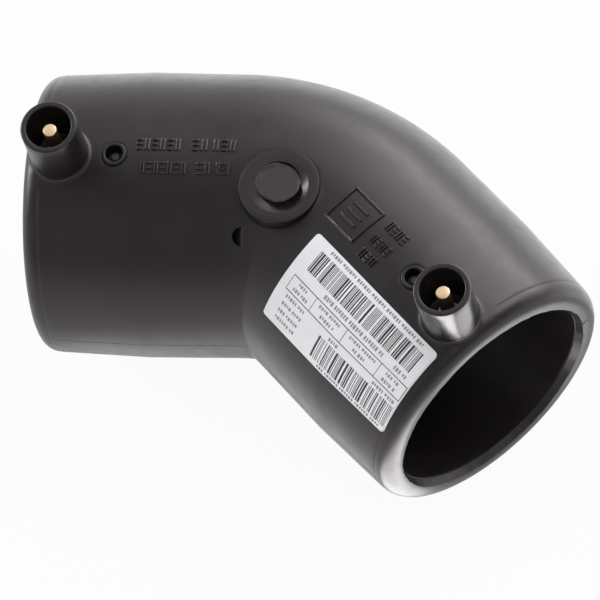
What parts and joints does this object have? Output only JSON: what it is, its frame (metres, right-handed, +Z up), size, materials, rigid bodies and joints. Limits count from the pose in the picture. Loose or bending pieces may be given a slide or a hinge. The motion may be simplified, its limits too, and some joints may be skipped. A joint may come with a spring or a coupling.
{
  "type": "electrofusion pipe elbow",
  "caption": "Polyethylene electrofusion elbow: joins equal plastic pipes at an angle of 45 degrees, with wound sockets, shrouded terminals and fusion indicators.",
  "frame": {"origin": "middle of the underside of the box round the elbow, which lies on its side with the bend level", "axes": "+Z up, the way both terminals point; +Y towards the outside of the bend; +X from the left socket to the right one"},
  "size_m": [0.1696, 0.1, 0.0973],
  "materials": {
    "body": "black polyethylene, satin moulded skin",
    "wire": "black sheathed heating wire",
    "contact_pin": "bare brass, turned",
    "indicator": "dark grey polyethylene",
    "label": "white printed film"
  },
  "bodies": {
    "root": {"elbow_body": "body", "heating_wire": "wire", "terminal_pin_left": "contact_pin", "terminal_pin_right": "contact_pin", "fusion_indicator_left": "indicator", "fusion_indicator_right": "indicator", "data_label": "label"}
  },
  "joints": []
}
